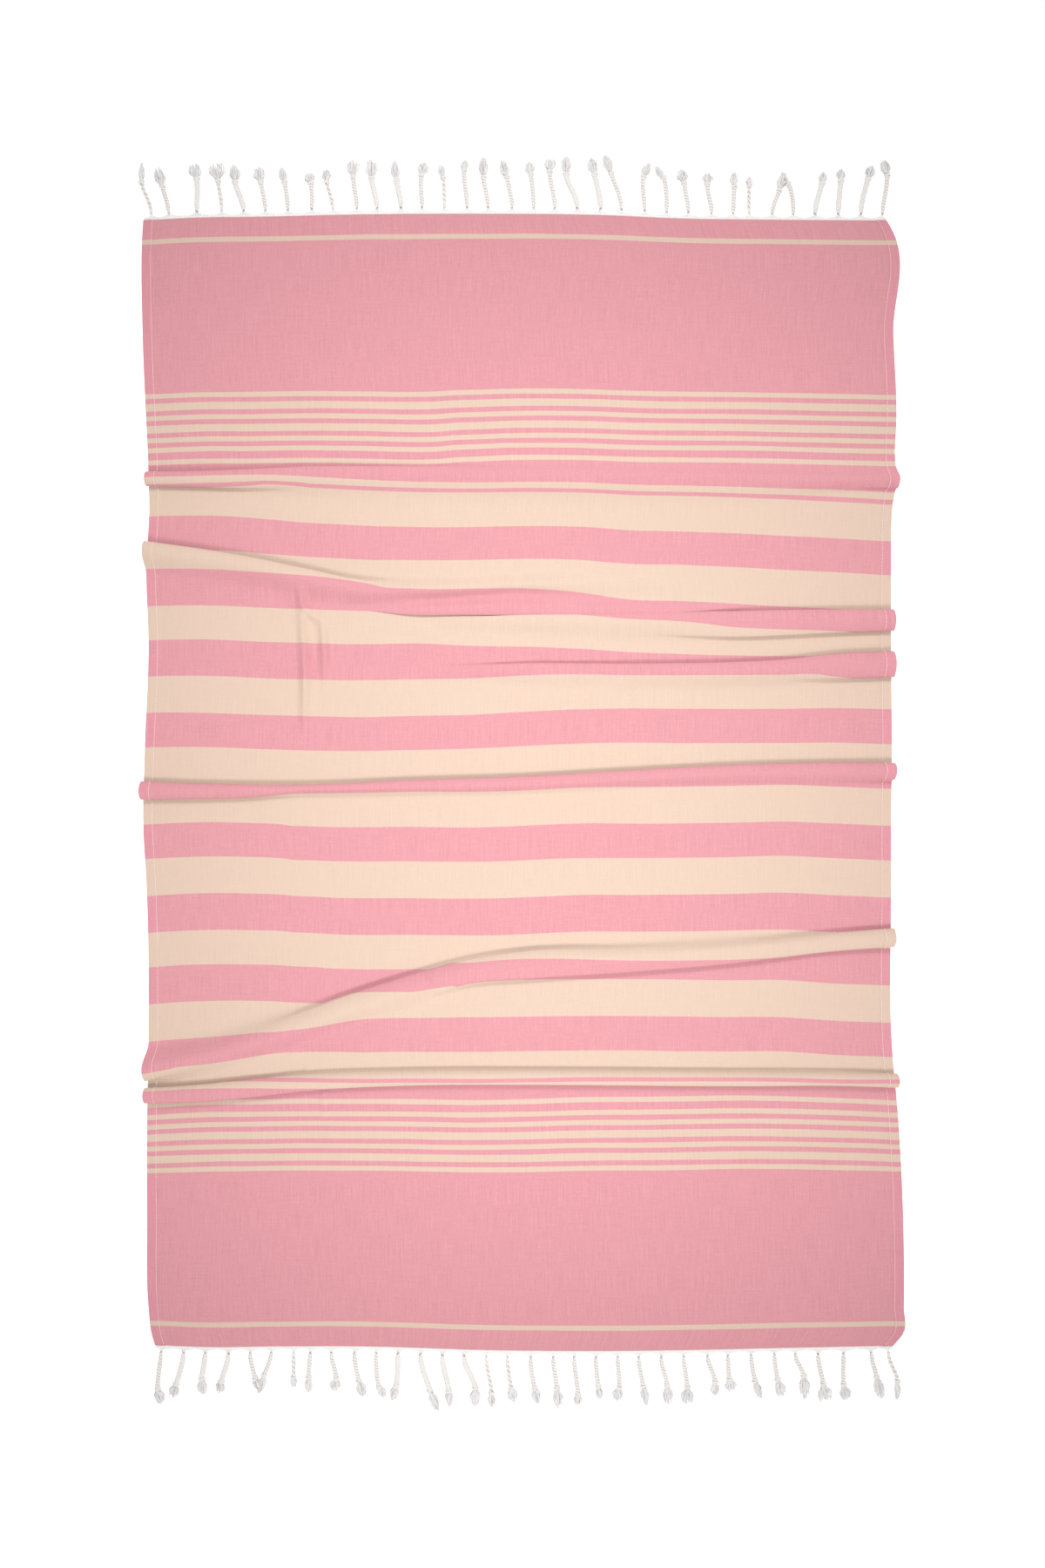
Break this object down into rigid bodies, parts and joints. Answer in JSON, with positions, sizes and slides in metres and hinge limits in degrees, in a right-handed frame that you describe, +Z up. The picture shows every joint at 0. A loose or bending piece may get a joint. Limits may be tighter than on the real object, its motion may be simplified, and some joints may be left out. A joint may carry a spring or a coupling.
{
  "type": "hammam towel",
  "caption": "Flat-woven cotton hammam towel with cross stripes, laid out with soft low folds across it, a knotted tassel fringe at each end.",
  "frame": {"origin": "centre of the towel's outline as it lies, on the surface under it", "axes": "+X across the cloth, from hem to hem; +Y along the cloth, towards the end that is uppermost in the picture; +Z up, away from the surface it lies on"},
  "size_m": [1.0198, 1.6699, 0.014],
  "materials": {
    "striped_cotton": "matte flat-woven cotton, pink weft stripes and fields with cream stripes and thin lines between them",
    "fringe_cotton": "matte natural white cotton yarn, twisted, knotted and frayed at the tips"
  },
  "bodies": {
    "root": {"cloth": "striped_cotton", "fringe_top": "fringe_cotton", "fringe_bottom": "fringe_cotton"}
  },
  "joints": []
}
